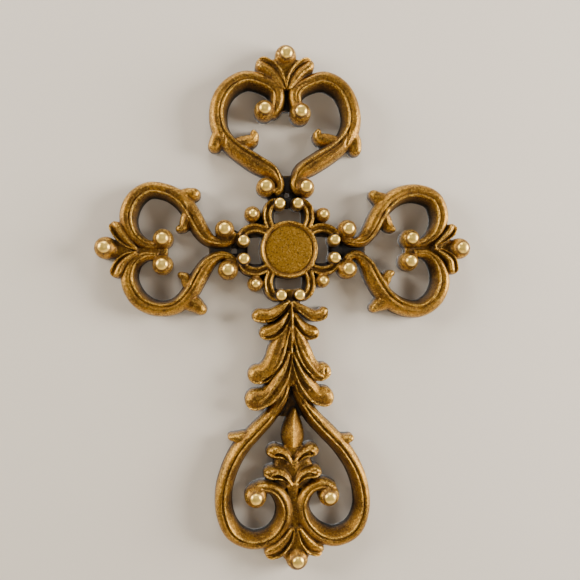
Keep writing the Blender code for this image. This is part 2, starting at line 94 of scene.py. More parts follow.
WEB_SECTION = ((-1, 0), (-0.75, 0.9), (0.75, 0.9), (1, 0))
BUD_SECTION = ((-1, 0), (-0.92, 0.42), (-0.5, 0.72), (0.08, 1.0), (0.2, 0.98), (0.6, 0.68), (0.92, 0.4),
               (1, 0))


def fullness(width):
    """Share of the way from a neck to a full loop, from a bar's half width."""
    return max(0.0, min(1.0, (width - NECK_WIDTH) / (FULL_WIDTH - NECK_WIDTH)))


def scroll_height(width):
    return SCROLL_LOW + SCROLL_RISE * width


def scroll_section(groove, full):
    """A broad convex band on the outside, a fine groove, a thin bead, then a slope to the inner foot."""
    middle = groove * full
    return ((-1, 0), (-0.97, 0.42), (-0.84, 0.72), (-0.55, 0.9), (-0.24, 0.96), (middle - 0.13, 0.93),
            (middle, 0.84), (middle + 0.12, 0.97), (middle + 0.2, 1.0), (middle + 0.32, 0.92),
            (0.85 - 0.13 * full, 0.78 - 0.23 * full), (0.97 - 0.02 * full, 0.42 - 0.26 * full), (1, 0))


# Turned profiles: share of the radius and share of the height, from the top down the outside.
BALL_PROFILE = ((0, 1.0), (0.3, 0.985), (0.55, 0.92), (0.78, 0.81), (0.93, 0.66), (0.99, 0.5), (1.0, 0.35),
                (0.97, 0))
STUD_PROFILE = ((0, 1.0), (0.3, 0.996), (0.55, 0.985), (0.75, 0.968), (0.9, 0.94), (1.0, 0.89), (1.0, 0.8))

# The medallion's profile, in millimetres: a sunk disc, a fine groove round it and a raised rim.
MEDALLION_PROFILE = ((0, 8.4), (12.2, 8.3), (12.9, 8.0), (13.3, 7.3), (13.6, 7.6), (14.2, 8.8), (14.8, 9.4),
                     (15.2, 9.5), (15.6, 9.0), (15.9, 7.5), (16.2, 4.5), (16.5, 0))

# Place of the groove across each scroll, from -1 at the outside to 1 at the inside.
GROOVES = {
    "top_left": 0.2, "top_right": 0.2, "left_upper": 0.2, "left_lower": 0.2,
    "right_upper": 0.2, "right_lower": 0.16, "foot_left": -0.06, "foot_right": -0.02,
}
TIER_GROOVE = 0.15

# Scrolls of the hearts: x, z and half width along each bar, from its end at the finial, round the loop.
SCROLLS = {
    "top_left": ((-9.5, 73.6, 1.2), (-6.9, 76.2, 3.4), (-5.3, 81, 4.6), (-5.8, 87.5, 4.9), (-13, 92.4, 4.8),
                 (-23, 94, 5), (-32.5, 88.2, 5.2), (-37.3, 78, 5.2), (-36.2, 66, 5), (-29, 56.6, 5.2),
                 (-18, 49, 5.8), (-9.3, 43.8, 5.1), (-4.9, 38.2, 3), (-4.6, 33.8, 2.5), (-7.6, 31, 2.2)),
    "top_right": ((9.2, 73, 1.2), (7, 75.5, 3.2), (5.6, 81, 4.4), (5.7, 87, 4.7), (12.1, 91.9, 4.5),
                  (21.8, 94.4, 5.2), (31.5, 89, 5.3), (36.4, 78, 5.4), (35.8, 67, 5.6), (29, 57.5, 5.3),
                  (18, 50, 5.8), (8.6, 44.2, 5.1), (4.3, 38.5, 3), (4.2, 34, 2.5), (6.9, 31.2, 2.2)),
    "left_upper": ((-70.5, 2.5, 2.4), (-77.5, 3.8, 3.1), (-84, 9, 4), (-86.7, 18, 4.9), (-83.5, 27.3, 5),
                   (-76, 33.1, 4.5), (-66.5, 32.3, 4.5), (-58.3, 27.5, 5), (-52.8, 19.8, 5),
                   (-48.3, 11.3, 4.9), (-43.5, 5.8, 3.9), (-37, 4.1, 2.7), (-31.8, 5.2, 2.2),
                   (-29.2, 9.3, 1.8)),
    "left_lower": ((-71, -2.6, 2.4), (-78, -2.6, 3), (-84.2, -7, 3.9), (-86.5, -16, 4.8), (-81.5, -26, 4.9),
                   (-72, -30.9, 4.5), (-62, -29.5, 4.6), (-54.5, -22.5, 5), (-49, -13, 5),
                   (-43.5, -5.8, 4.2), (-37, -2.8, 2.7), (-31.2, -5, 2.2), (-28.7, -9.8, 1.8)),
    "right_upper": ((70, 2.2, 2.4), (77, 3.3, 3), (83.7, 8.6, 4.1), (86.7, 17.8, 5), (83.3, 27.5, 5.1),
                    (74, 31.4, 5.2), (64.5, 30.4, 5.2), (56.5, 25.3, 5.3), (51.2, 18.2, 5.4),
                    (47, 10.8, 5), (42, 5, 4), (36.3, 3.7, 2.7), (31.6, 5.6, 2.2), (28.8, 9, 1.9)),
    "right_lower": ((71, -2.6, 2.4), (78.5, -3.3, 3.1), (84.3, -9, 4.3), (86.4, -19, 5.2), (82.4, -28.6, 5.2),
                    (73.4, -34, 5.1), (63, -32.3, 5.3), (54.5, -26, 5.5), (48.3, -16.5, 5.5),
                    (44, -8.3, 4.6), (38, -3.3, 3), (32.6, -5.4, 2.3), (29.8, -9.8, 1.8)),
    "foot_left": ((-1.4, -66, 2.2), (-4.5, -79.5, 3.6), (-11.5, -91, 4.3), (-20, -99.7, 4.8),
                  (-28.3, -108.5, 5.1), (-34.3, -119, 5), (-37.9, -131, 4.9), (-37.8, -143, 4.9),
                  (-33, -153.5, 5), (-23, -158.6, 4.6), (-12.5, -156.3, 4.7), (-6.3, -149, 4.9),
                  (-5.5, -140, 4.8), (-10, -132, 4.5), (-17, -130, 3.7), (-23.5, -131.8, 3.2)),
    "foot_right": ((1.2, -66, 2.2), (4, -79, 3.6), (10.5, -91.3, 4.5), (18.9, -100.8, 4.9),
                   (27.6, -110.5, 4.9), (34.2, -121.5, 4.8), (37.8, -133.3, 4.6), (37.9, -145, 4.6),
                   (33, -155, 5.1), (23, -159.2, 5.1), (13.5, -156.3, 4.9), (6.8, -149, 4.5),
                   (5, -140.5, 4.2), (9, -132.3, 4.2), (16, -129.8, 3.9), (22.5, -132.5, 3.2)),
}

# Short pointed leaves that branch off the bars, each from its root to the centre of its round tip.
SPURS = {
    "top_left_outer": ((-35.5, 66, 3.5), (-37.8, 61.5, 4.5), (-39.6, 57.8, 4)),
    "top_left_inner": ((-29, 58, 3.8), (-24, 59.2, 4.3), (-19.6, 60.4, 3.8), (-17.9, 62.6, 2.8),
                       (-18.3, 64.2, 2.2)),
    "top_right_outer": ((36, 66, 3.5), (37.9, 60.5, 4.5), (38.5, 56.3, 4)),
    "top_right_inner": ((28, 60, 3.6), (23, 60.8, 4.1), (18.7, 61.7, 3.7), (17.1, 63.6, 2.8),
                        (17.5, 65, 2.1)),
    "left_upper_outer": ((-60, 29, 4), (-55, 30.1, 4.6), (-51.8, 30.7, 4)),
    "left_upper_inner": ((-54, 22, 3.5), (-56, 17, 3.4), (-57, 13.2, 3.1), (-59.4, 11.9, 2.3)),
    "left_lower_outer": ((-58, -28, 4), (-53, -28.6, 4.9), (-48.8, -31.8, 3.5)),
    "left_lower_inner": ((-53, -22, 3.5), (-55.8, -17.5, 3.3), (-57, -14.4, 3), (-58.9, -13.2, 2.2)),
    "right_upper_outer": ((58, 27, 4), (52.5, 28, 4.3), (48.9, 30.2, 3.2)),
    "right_upper_inner": ((53, 21, 3.5), (55.2, 16, 3.5), (56.8, 12.4, 3.1), (58.7, 11, 2.2)),
    "right_lower_outer": ((58, -29.5, 4), (52, -30.5, 4.6), (47.6, -33, 3)),
    "right_lower_inner": ((51.5, -22, 3.5), (54.3, -17.5, 3.3), (55.8, -14.8, 3), (57.4, -13.9, 2.2)),
    "foot_left": ((-21, -101, 3), (-28, -102.3, 3.4), (-33.4, -101.7, 2.2)),
    "foot_right": ((23, -106, 3), (28.3, -106, 3.4), (31.9, -105, 2.4)),
}

# Fluted lobes of the four finials, each from its root to the centre of its tip.
LOBES = {
    "top_left": ((-1, 88, 1.5), (-4, 94, 3.9), (-7.4, 98.5, 4.9), (-12.1, 101.7, 4.8)),
    "top_right": ((1, 88, 1.5), (4, 94.4, 3.9), (7.5, 98.9, 4.8), (11.4, 101.8, 4.8)),
    "left_upper": ((-82, 0.8, 0.8), (-87, 4.4, 2.6), (-91, 8.8, 3.6), (-93.2, 12.6, 3.7)),
    "left_lower": ((-82, -0.8, 0.8), (-87.3, -3.4, 2.6), (-91, -7, 3.6), (-92.8, -10.6, 3.8)),
    "right_upper": ((82, 1, 0.8), (87, 4.5, 2.2), (91.5, 8.3, 3.2), (92.8, 10.8, 3)),
    "right_lower": ((82, -0.5, 0.8), (87.5, -3, 2.2), (91.8, -7, 3.2), (92.8, -11.8, 3.4)),
    "bottom_left": ((-1.3, -152, 1.5), (-4.1, -158, 3.7), (-8.6, -162.8, 4.5), (-12.5, -164.3, 4.4)),
    "bottom_right": ((2.2, -152, 1.5), (5.4, -158.4, 3.6), (9.2, -163, 4.3), (12, -164.3, 4.2)),
}

# Lobes of the two tiers under the bud, which carry a bead on their lower side as the scrolls do.
TIERS = {
    "tier_1_left": ((0, -117, 1.5), (-5, -112.3, 3.6), (-10, -111, 4.7)),
    "tier_1_right": ((0, -117, 1.5), (5, -112.5, 3.6), (9.7, -111.2, 4.8)),
    "tier_2_left": ((-0.5, -128.5, 1.5), (-6, -123.7, 3.8), (-11.9, -122.6, 4.6)),
    "tier_2_right": ((0.5, -128.5, 1.5), (5.5, -123.8, 3.8), (11.2, -122.8, 4.6)),
}

# Husk leaves, from the spine to the tip, the upper leaf of each side first.
LEAVES = {
    "left_1": ((-0.5, -28.5, 1.5), (-5, -32.3, 2.8), (-11, -35.8, 3.8), (-17, -36, 4.2)),
    "left_2": ((-1, -35, 2), (-5, -41, 3.6), (-10, -44.8, 4.6), (-13, -45.4, 4.4)),
    "left_3": ((-2, -42, 2.5), (-7, -53, 5), (-10.5, -62, 5), (-15.5, -67.6, 5.3), (-18.5, -68.2, 5.6)),
    "left_4": ((-2, -56, 3), (-6, -69, 5.2), (-12.5, -79, 5.4), (-19.7, -81.8, 6.2)),
    "right_1": ((1, -29, 1.5), (6.5, -33, 2.8), (12.5, -36.5, 3.5), (17, -36.2, 3.6), (18.2, -34.2, 2.6)),
    "right_2": ((1.5, -35.5, 2), (5.5, -42, 3.6), (10, -45.7, 4.4), (11.8, -46, 4.2)),
    "right_3": ((2, -42, 2.5), (6, -53, 4.4), (9.8, -62.5, 4.6), (14.5, -68, 4.8), (16.9, -67.5, 5.2)),
    "right_4": ((2, -56, 3), (6, -69, 4.8), (12, -79, 5.2), (17.6, -81.4, 6)),
}
SPINE = ((0.5, -29, 1.2), (0.8, -40, 2.4), (0.5, -49, 2.4), (0.2, -57, 1))
SPINE_HEIGHT = 12.4
BUD = ((1.2, -87.2, 0.8), (0.6, -94, 4.6), (0.3, -102, 6.5), (0.2, -108, 5.4))
BUD_HEIGHT = 12.0
STEM = ((-0.5, -104, 5), (-0.3, -118, 4), (-0.3, -130, 3.6), (0.2, -145, 3), (0.5, -160, 5), (1, -168, 3.5))
STEM_HEIGHT = 8.0

# Large studded balls at the ends of the scrolls and on the finials: x, z and radius.
BALLS = (
    (0.1, 107.2, 6), (-12.3, 76.7, 5.7), (7.6, 75.4, 6), (-12.3, 34.4, 5.3), (9.6, 34, 5.3),
    (-98.5, 1.9, 6.1), (-68.3, 6.4, 5.6), (-68.7, -7.5, 5.6), (-35.2, 11.3, 5.4), (-33.7, -10.8, 5.6),
    (97.4, -0.4, 6), (68.5, 5.3, 5.4), (67.4, -7.4, 5.5), (32.7, 10.9, 5.4), (32.3, -11.2, 5.6),
    (-20.9, -134.2, 6.2), (19.4, -135.7, 5.9), (1.1, -169, 6.2),
)
STUD_RADIUS = 3.1

# Ring of petals round the medallion. One bar is drawn outward along +x, beside it in +z, with a low ledge
# inside it.
PETAL = ((12.3, 10.2, 3), (17.8, 12, 3.1), (23, 11, 3.1), (26.1, 8.1, 2.7), (25.4, 5.4, 2.3))
PETAL_BALL = (25.1, 5, 3.8)
PETAL_LEDGE = ((13, 9.8, 2.6), (20, 9.8, 2.6), (24.3, 8.6, 2.6), (25.5, 4.5, 2.6))
PETAL_STUD = 2.8
CORNER_BALLS = ((-19.8, 19.6, 4.6), (19.2, 19.1, 4.2), (-18.9, -18.5, 4.5), (18.3, -17.3, 4.1))
CORNER_STUD = 2.1

# Sunk webs that tie neighbouring forms together low down, between the bars.
WEBS = {
    "top_end": ((0, 77.5, 4), (0, 84, 3.5), (0, 90, 4)),
    "top_waist": ((0, 32, 4.5), (0, 37, 3.5), (0, 41.5, 3.5)),
    "top_gap_left": ((-4.7, 36, 3.2), (-4.7, 27, 3.2)),
    "top_gap_right": ((4.1, 36, 3.2), (4.1, 27, 3.2)),
    "top_hub": ((-6, 26.3, 3.2), (6, 26.3, 3.2)),
    "top_hub_left": ((-12, 34, 3), (-5, 26, 3)),
    "top_hub_right": ((10, 34, 3), (5.5, 26, 3)),
    "left_waist": ((-44, 0.6, 2.6), (-38, 0.6, 2.6), (-31.6, 0.3, 4)),
    "left_gap_upper": ((-34, 4.6, 3.2), (-26, 4.6, 3.2)),
    "left_gap_lower": ((-34, -4.6, 3.2), (-26, -4.6, 3.2)),
    "left_hub": ((-25.5, -6, 3), (-25.5, 6, 3)),
    "left_hub_upper": ((-35, 11, 3), (-25, 6, 3)),
    "left_hub_lower": ((-34, -11, 3), (-25, -6, 3)),
    "right_waist": ((43.5, 0.3, 2.6), (37, 0.3, 3), (31, 0, 4), (26, 0, 5)),
    "right_hub": ((25.5, -6, 3), (25.5, 6, 3)),
    "right_hub_upper": ((33, 11, 3), (25, 6, 3)),
    "right_hub_lower": ((32, -11, 3), (25, -6, 3)),
    "corner_upper_left": ((-20, 20, 3), (-10, 10, 3)),
    "corner_upper_right": ((19, 19, 3), (10, 10, 3)),
    "corner_lower_left": ((-19, -19, 3), (-10, -10, 3)),
    "corner_lower_right": ((18, -18, 3), (10, -10, 3)),
}

# Ground between the lobes or the necks of a finial, the leaves of the husk and the tiers under the bud:
# its height and route.
FILLS = {
    "top_finial": (9, ((0, 105, 9.3), (0, 98, 9.5), (0, 91, 4))),
    "left_finial": (8.2, ((-97, 1.3, 5), (-91, 0.8, 5), (-85, 0.5, 2.5))),
    "right_finial": (8.2, ((96, -0.3, 5), (90, 0, 5), (84, 0.3, 2.5))),
    "bottom_finial": (9, ((0.5, -155, 3.5), (0.8, -163, 9), (1, -169, 7.5))),
    "left_end": (7.2, ((-85, 0.5, 2.6), (-66, -0.5, 2.6))),
    "right_end": (7.2, ((85, 0.3, 2.6), (66, -1, 2.6))),
    "foot_apex": (4.8, ((0, -70, 3), (0, -84, 5), (0, -92, 7.5))),
    "husk_root": (7, ((0, -22, 4), (0, -30, 3), (0, -38, 5))),
    "husk": (10, ((0, -29, 2), (0, -38, 5), (0, -52, 6.5), (0, -64, 6.5), (0, -71, 4), (0, -75, 1))),
    "tiers": (7, ((0, -108, 8), (0, -117, 11), (0, -125, 12), (0, -131, 6))),
}

# Lines chased over the forms: x and z along each. A ridge stands up, a groove or a hollow is cut in, and at
# an edge the ground also drops away below the line, as one leaf lies over the next.
CHASED = {
    "edge": (
        ((-1.5, -28.8), (-4.3, -33.2), (-7.5, -35.8), (-11.6, -37.6), (-15.7, -38)),
        ((-0.9, -32.6), (-3.1, -37.9), (-5.2, -41.6), (-8.3, -44.6), (-12.4, -46.5), (-15.1, -46.5)),
        ((-3.3, -52.2), (-3.8, -55.6), (-5.2, -59.6), (-7.3, -63.6), (-10.4, -66.9), (-14.2, -69.5),
         (-19.3, -72.3)),
        ((-1.4, -56.3), (-2.1, -60.4), (-3.9, -65.7), (-6.4, -70.4), (-10.3, -75.7), (-14.4, -80.2),
         (-19.2, -83.1)),
        ((-0.3, -72.3), (-1.4, -75.3), (-3.2, -79.3), (-6.3, -83.9), (-9.8, -88.5), (-12.6, -92.4)),
        ((2.2, -32.6), (5.5, -36.1), (9.6, -38.9), (13.7, -40.7), (16.5, -39.4)),
        ((2.1, -36.7), (4.7, -41.5), (7.4, -45.3), (10.8, -47.1), (14.3, -46.2)),
        ((0.5, -48.9), (2.4, -54.4), (4.4, -59.9), (7.7, -65.4), (11.7, -69.6)),
        ((1, -57.7), (3.6, -64.6), (6.9, -71.5), (10.9, -77.1)),
        ((1.4, -73.4), (4, -78.9), (8, -85.1)),
        ((-1, -116.8), (-4.5, -112), (-8, -110.2), (-11.5, -111.5)),
        ((0.8, -116), (4.5, -111.5), (9, -109.8), (12, -112)),
        ((-1, -129), (-4.5, -124), (-9, -121.8), (-13, -123)),
        ((0.5, -128), (4, -123.5), (8, -121.3), (12.5, -122.8)),
    ),
    "ridge": (
        ((-2.2, -27.4), (-5.3, -31.4), (-8.8, -34.8), (-13.6, -36)),
        ((-5.5, -57.6), (-6.9, -60.9), (-9.4, -64.9), (-12.8, -67.5)),
        ((-4.2, -63.7), (-6, -67.7), (-8.8, -72.3), (-13, -77.6)),
        ((-0.5, -30.5), (0.7, -35.3), (0.6, -42.1), (0.1, -48.2), (-0.3, -52.3)),
        ((1.1, -34.3), (3.4, -38.8), (6.1, -42.9), (9.5, -45), (12.9, -44.8)),
        ((2.6, -45.6), (3.8, -51.7), (6.5, -57.9), (9.8, -63.4), (13.8, -68.3), (17.9, -71.2)),
        ((0, -53.6), (2.3, -59.1), (4.9, -66), (8.3, -72.2), (12.3, -77.8), (16.3, -80.7)),
        ((0, -71.3), (2.6, -78.1), (6.6, -84.4), (10.7, -88.6), (15.4, -93.6)),
        ((-2, -113.5), (-5, -109), (-8.5, -107.3), (-12, -109)),
        ((2, -112), (5, -108.5), (9, -107), (12.5, -109.5)),
        ((-1.5, -125), (-5, -120.8), (-10, -119), (-14, -121.5)),
        ((1.5, -123.5), (5, -119.5), (9.5, -118), (14, -121.5)),
        ((-56, 27), (-55, 22), (-54.5, 17), (-55, 13.5)),
        ((55.5, 24), (54.5, 18), (56, 13), (59.5, 10.5)),
        ((57.5, -14), (55.5, -16), (55, -20), (57, -25), (60, -28.5)),
        ((-24, 57), (-20, 59), (-17.5, 62)),
    ),
    "groove": (
        ((-55, 30), (-52, 27)),
        ((-47, -5), (-50, -12), (-54, -19)),
        ((-34.6, 63), (-34.2, 59.5), (-34.6, 56)),
        ((34.2, 66), (33.4, 61), (32, 56.5)),
    ),
    "hollow": (
        ((17.2, -67), (18.8, -67.2)),
        ((19, -76.5), (20.8, -76.9)),
        ((11.7, -42), (15.7, -42.8)),
    ),
}

# Each kind's rise and its spread, and how far the ground drops below the line, in millimetres.
CHASING = {
    "edge": (0.6, 0.5, 1.4), "ridge": (0.65, 0.5, 0), "groove": (-0.8, 0.6, 0), "hollow": (-0.7, 1.6, 0),
}
CHASE_STEPS = 5
DROP_NEAR = 0.9             # the drop is deepest this far below its edge
DROP_FAR = 3.0              # and it has run out this far below it
CHASE_REACH = 3             # a line is felt this many times its spread away
CHASE_FADE = 0.12           # share of a line's length over which it fades in and out
CHASE_FACING = (0.25, 0.6)  # a surface is chased fully once it faces the front this much

# Cast fillets and unevenness of the carved surface.
SOFTEN_PASSES = 3
SOFTEN = 0.45
GRAIN = 0.045               # how far the sandy grain stands in and out
GRAIN_SIZE = 1.1
WOBBLE = 0.10               # unevenness of the hand-made pattern
WOBBLE_SIZE = 9.0

# Maps of the relief, in millimetres, from which the dark wash with its painted shade and the worn gold with
# its painted highlights are worked out.
MAP_CELL = 0.5
MAP_MARGIN = 8.0
NEAR_BLUR = 0.9
FAR_BLUR = 3.2

# The dark wash, which is partly painted shade, lies where a place is sunk below its near or its far
# surroundings: the depths at which it starts and is full, and its share.
WASH_AND_SHADE_NEAR = (0.1, 1.2, 0.5)
WASH_AND_SHADE_FAR = (1.0, 4.8, 0.7)

# It lies in low places too, partly as painted shade at the foot of the forms: the heights at which it is full
# and gone, and its share. More of it lies on the flat webs, as painted shade in the deep gaps: how much they
# face the front, the heights at which it is full and gone, and its share.
WASH_AND_SHADE_LOW = (1.2, 7.0, 0.35)
WEB_FACING = (0.5, 0.85)
WEB_LOW = (4.0, 6.0)
WEB_WASH_AND_SHADE = 0.6

CREST_RISE = (0.05, 0.5)    # the gold is rubbed bright, and a highlight painted, from here to here above the near surroundings
GILT_EDGE = (-0.35, 0.1)    # a stud's gilding runs out between these, from the stud's radius
SHADE_RING_START = (-0.1, 0.25)   # the painted shade ring round it starts between these
SHADE_RING_END = (0.5, 1.1)       # and runs out between these
DISC_EDGE = (12.4, 13.4)    # the medallion's ochre runs out between these radii


def at(x, z, height):
    """A point of the design as a place in the finished part."""
    return Vector(((x - NOTCH[0]) * MM, -height * MM, (z - NOTCH[1]) * MM))


def between(points, share):
    """Value on the smooth curve through four points, at a share of the way from the second to the third."""
    before, start, end, after = points
    square, cube = share * share, share ** 3
    return tuple(
        b + 0.5 * ((c - a) * share + (2 * a - 5 * b + 4 * c - d) * square + (3 * b - a - 3 * c + d) * cube)
        for a, b, c, d in zip(before, start, end, after)
    )


def smooth(route, steps=STEPS):
    """Closely spaced points on the smooth curve through a route, which keeps the route's own points."""
    first = tuple(2 * a - b for a, b in zip(route[0], route[1]))
    last = tuple(2 * a - b for a, b in zip(route[-1], route[-2]))
    padded = (first,) + tuple(route) + (last,)
    points = [
        between(padded[i:i + 4], step / steps)
        for i in range(len(route) - 1)
        for step in range(steps)
    ]
    return points + [tuple(route[-1])]


def rounded(section):
    """A cross section with its corners eased, still from foot to foot."""
    points = smooth(section, SECTION_STEPS)
    return [(max(-1.0, min(1.0, across)), max(0.0, rise)) for across, rise in points]


def directions(points):
    """Unit direction of travel at each point."""
    found = []
    for i in range(len(points)):
        ahead = points[min(i + 1, len(points) - 1)]
        behind = points[max(i - 1, 0)]
        found.append(Vector((ahead[0] - behind[0], ahead[1] - behind[1])).normalized())
    return found


def turns_left(points):
    """Whether the curve turns left on the whole, which puts its hollow side on the left."""
    ways = directions(points)
    return sum(a.x * b.y - a.y * b.x for a, b in zip(ways, ways[1:])) > 0


def add_tip(stations):
    """Rings that close a form with a round tip, beyond its last station."""
    x, z, way, width, height = stations[-1]
    for angle in TIP_ANGLES:
        reach = width * math.sin(math.radians(angle))
        share = math.cos(math.radians(angle))
        level = height * (TIP_LOW + (1 - TIP_LOW) * share)
        stations.append((x + way.x * reach, z + way.y * reach, way, width * share, level))


def loft(form, stations, section, flip):
    """Closed solid through rings that change in width and height apart, added to the gathered forms."""
    rings = []
    for x, z, way, width, height in stations:
        side = Vector((way.y, -way.x)) * (-width if flip else width)
        ring = []
        for across, rise in rounded(section(width)):
            level = rise * height if rise > 0 else -BEHIND
            ring.append(form.verts.new(at(x + side.x * across, z + side.y * across, level)))
        rings.append(ring)
    count = len(rings[0])
    faces = []
    for ring, after in zip(rings, rings[1:]):
        for i in range(count):
            j = (i + 1) % count
            faces.append(form.faces.new((ring[i], ring[j], after[j], after[i])))
    faces.append(form.faces.new(rings[0]))
    faces.append(form.faces.new(rings[-1]))
    bmesh.ops.recalc_face_normals(form, faces=faces)


def bar(form, route, section, height_of, tip=False, flip=False):
    """Form along a route of x, z and half width, which gives it its height and its section."""
    points = smooth(route)
    stations = [
        (x, z, way, width, height_of(width))
        for (x, z, width), way in zip(points, directions(points))
    ]
    if tip:
        add_tip(stations)
    loft(form, stations, section, flip)


def plain_bar(form, route, section, height):
    """Form along a route of x, z and half width, with one section and one height from end to end."""
    bar(form, route, lambda width: section, lambda width: height)


def turned(form, x, z, profile, sides):
    """Turned form, its axis square to the back, from a profile of radius and height in millimetres."""
    outline = list(profile) + [(profile[-1][0], -BEHIND)]
    top = form.verts.new(at(x, z, outline[0][1]))
    bottom = form.verts.new(at(x, z, -BEHIND))
    rings = []
    for radius, height in outline[1:]:
        turns = [2 * math.pi * i / sides for i in range(sides)]
        circle = [(x + radius * math.cos(turn), z + radius * math.sin(turn)) for turn in turns]
        rings.append([form.verts.new(at(*spot, height)) for spot in circle])
    faces = []
    for i in range(sides):
        j = (i + 1) % sides
        faces.append(form.faces.new((top, rings[0][i], rings[0][j])))
        faces.append(form.faces.new((bottom, rings[-1][j], rings[-1][i])))
        for ring, below in zip(rings, rings[1:]):
            faces.append(form.faces.new((ring[i], below[i], below[j], ring[j])))
    bmesh.ops.recalc_face_normals(form, faces=faces)


def studded_ball(form, studs, x, z, radius, height, stud):
    turned(form, x, z, [(radius * out, height * up) for out, up in BALL_PROFILE], BALL_SIDES)
    turned(form, x, z, [(stud * out, (height + STUD_RISE) * up) for out, up in STUD_PROFILE], BALL_SIDES)
    studs.append((x, z, stud))


def add_scrolls(form):
    for name, route in SCROLLS.items():
        section = lambda width: scroll_section(GROOVES[name], fullness(width))
        bar(form, route, section, scroll_height, flip=turns_left(smooth(route)))


def add_leaf_forms(form, routes, section, height, outside=False):
    """Spurs, lobes or leaves. The section's far side lies in the hollow of the curve, or outside it."""
    for route in routes.values():
        flip = turns_left(smooth(route)) != outside
        bar(form, route, lambda width: section, lambda width: height, tip=True, flip=flip)


def add_petals(form, studs):
    """Eight hooked bars, two on each side of the medallion, each with a small studded ball."""
    for quarter in range(4):
        c, s = round(math.cos(quarter * math.pi / 2)), round(math.sin(quarter * math.pi / 2))
        for hand in (1, -1):
            petal, ledge, ball = (
                [(c * x - s * z * hand, s * x + c * z * hand, width) for x, z, width in route]
                for route in (PETAL, PETAL_LEDGE, (PETAL_BALL,))
            )
            plain_bar(form, petal, PETAL_SECTION, PETAL_HEIGHT)
            plain_bar(form, ledge, WEB_SECTION, WEB_HEIGHT)
            studded_ball(form, studs, *ball[0], SMALL_BALL_HEIGHT, PETAL_STUD)


def gathered_forms():
    """All the cast forms, still overlapping, and the studs' places."""
    form = bmesh.new()
    studs = []
    add_scrolls(form)
    add_leaf_forms(form, SPURS, SPUR_SECTION, SPUR_HEIGHT)
    add_leaf_forms(form, LOBES, FLUTED_SECTION, LOBE_HEIGHT, outside=True)
    add_leaf_forms(form, TIERS, scroll_section(TIER_GROOVE, 1), LOBE_HEIGHT)
    add_leaf_forms(form, LEAVES, LEAF_SECTION, LEAF_HEIGHT, outside=True)
    plain_bar(form, SPINE, BUD_SECTION, SPINE_HEIGHT)
    plain_bar(form, BUD, BUD_SECTION, BUD_HEIGHT)
    plain_bar(form, STEM, WEB_SECTION, STEM_HEIGHT)
    add_petals(form, studs)
    for x, z, radius in BALLS:
        studded_ball(form, studs, x, z, radius, BALL_HEIGHT, STUD_RADIUS)
    for x, z, radius in CORNER_BALLS:
        studded_ball(form, studs, x, z, radius, SMALL_BALL_HEIGHT, CORNER_STUD)
    for route in WEBS.values():
        plain_bar(form, route, WEB_SECTION, WEB_HEIGHT)
    for height, route in FILLS.values():
        plain_bar(form, route, WEB_SECTION, height)
    turned(form, 0, 0, MEDALLION_PROFILE, MEDALLION_SIDES)
    mesh = bpy.data.meshes.new("gathered_forms")
    form.to_mesh(mesh)
    form.free()
    return mesh, studs


def put_in_scene(name, data):
    made = bpy.data.objects.new(name, data)
    bpy.context.scene.collection.objects.link(made)
    return made


def with_modifier(mesh, kind, **values):
    """The mesh that one modifier makes of a mesh."""
    carrier = put_in_scene("carrier", mesh)
    change = carrier.modifiers.new("change", kind)
    for name, value in values.items():
        setattr(change, name, value)
    graph = bpy.context.evaluated_depsgraph_get()
    made = bpy.data.meshes.new_from_object(carrier.evaluated_get(graph))
    bpy.data.objects.remove(carrier)
    bpy.data.meshes.remove(mesh)
    return made


def rows(items, name):
    """One vector value of each point or face of a mesh, a row each."""
    found = np.empty(len(items) * 3)
    items.foreach_get(name, found)
    return found.reshape(-1, 3)


def places(mesh):
    return rows(mesh.vertices, "co")


def normals(mesh):
    return rows(mesh.vertices, "normal")


def set_places(mesh, found):
    mesh.vertices.foreach_set("co", found.ravel())
    mesh.update()


def softened(mesh):
    """Eases the grid's steps and the sharp inner corners, as a sand mould does."""
    edges = np.empty(len(mesh.edges) * 2, int)
    mesh.edges.foreach_get("vertices", edges)
    a, b = edges.reshape(-1, 2).T
    spots = places(mesh)
    neighbours = np.bincount(a, minlength=len(spots)) + np.bincount(b, minlength=len(spots))
    for _ in range(SOFTEN_PASSES):
        total = np.stack([
            np.bincount(a, spots[b, axis], len(spots)) + np.bincount(b, spots[a, axis], len(spots))
            for axis in range(3)
        ], 1)
        spots += SOFTEN * (total / neighbours[:, None] - spots)
    set_places(mesh, spots)


def ramp(values, low, high):
    share = np.clip((values - low) / (high - low), 0, 1)
    return share * share * (3 - 2 * share)


def from_line(points, x, z):
    """How far each place is from a line, minus if above it, and where along the line that is, from 0 to 1."""
    best, below, along = np.full(len(x), np.inf), np.ones(len(x)), np.zeros(len(x))
    count = len(points) - 1
    for i, (start, end) in enumerate(zip(points, points[1:])):
        run, climb = end[0] - start[0], end[1] - start[1]
        share = np.clip(((x - start[0]) * run + (z - start[1]) * climb) / (run * run + climb * climb), 0, 1)
        off_x, off_z = x - start[0] - share * run, z - start[1] - share * climb
        off = np.hypot(off_x, off_z)
        nearer = off < best
        side = np.sign((off_x * climb - off_z * run) * (1 if run > 0 else -1))
        best[nearer], below[nearer], along[nearer] = off[nearer], side[nearer], (i + share[nearer]) / count
    return best * below, along


